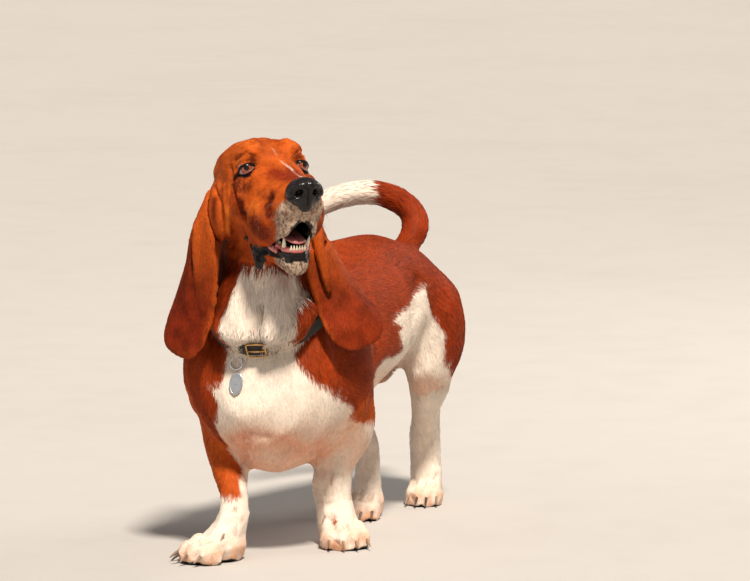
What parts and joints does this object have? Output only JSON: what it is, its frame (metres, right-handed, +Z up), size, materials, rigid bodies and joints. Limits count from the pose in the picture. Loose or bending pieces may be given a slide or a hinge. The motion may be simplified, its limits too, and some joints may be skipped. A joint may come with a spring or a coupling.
{
  "type": "basset hound model",
  "caption": "Life-size still model of a basset hound standing with one forepaw forward and its head raised, wearing a collar with a blank tag.",
  "frame": {"origin": "middle of the bounding box on the floor under the dog", "axes": "+Z up, -Y the way the dog's body faces, +Y towards the tail, +X to the dog's left"},
  "size_m": [0.2788, 0.7126, 0.566],
  "materials": {
    "red_coat": "short dense fur, red-brown with white markings",
    "white_coat": "short dense fur, cream white",
    "nose_leather": "pebbled, slightly moist",
    "eye": "clear and wet",
    "tongue": "moist, finely pebbled",
    "tooth": "polished ivory on pink gums",
    "claw_horn": "smooth horn",
    "strap": "worn dark strap",
    "brass": "worn satin",
    "steel": "worn satin"
  },
  "bodies": {
    "root": {"chest": "red_coat", "claw_fore_left_1": "claw_horn", "claw_fore_left_2": "claw_horn", "claw_fore_left_3": "claw_horn", "claw_fore_left_4": "claw_horn", "claw_fore_right_1": "claw_horn", "claw_fore_right_2": "claw_horn", "claw_fore_right_3": "claw_horn", "claw_fore_right_4": "claw_horn", "claw_hind_left_1": "claw_horn", "claw_hind_left_2": "claw_horn", "claw_hind_left_3": "claw_horn", "claw_hind_left_4": "claw_horn", "claw_hind_right_1": "claw_horn", "claw_hind_right_2": "claw_horn", "claw_hind_right_3": "claw_horn", "claw_hind_right_4": "claw_horn", "collar_buckle": "brass", "collar_strap": "strap", "dewclaw_left": "claw_horn", "dewclaw_right": "claw_horn", "ear_left": "red_coat", "ear_right": "red_coat", "eye_left": "eye", "eye_right": "eye", "forearm_left": "red_coat", "forearm_right": "red_coat", "head": "red_coat", "jaw": "white_coat", "loin": "red_coat", "lower_gums": "tooth", "lower_leg_left": "red_coat", "lower_leg_right": "red_coat", "neck": "red_coat", "nose": "nose_leather", "paw_fore_left": "white_coat", "paw_fore_right": "white_coat", "paw_hind_left": "white_coat", "paw_hind_right": "white_coat", "rump": "red_coat", "tag": "steel", "tag_ring": "steel", "tail_base": "red_coat", "tail_middle": "red_coat", "tail_tip": "red_coat", "thigh_left": "red_coat", "thigh_right": "red_coat", "tongue": "tongue"}
  },
  "joints": []
}
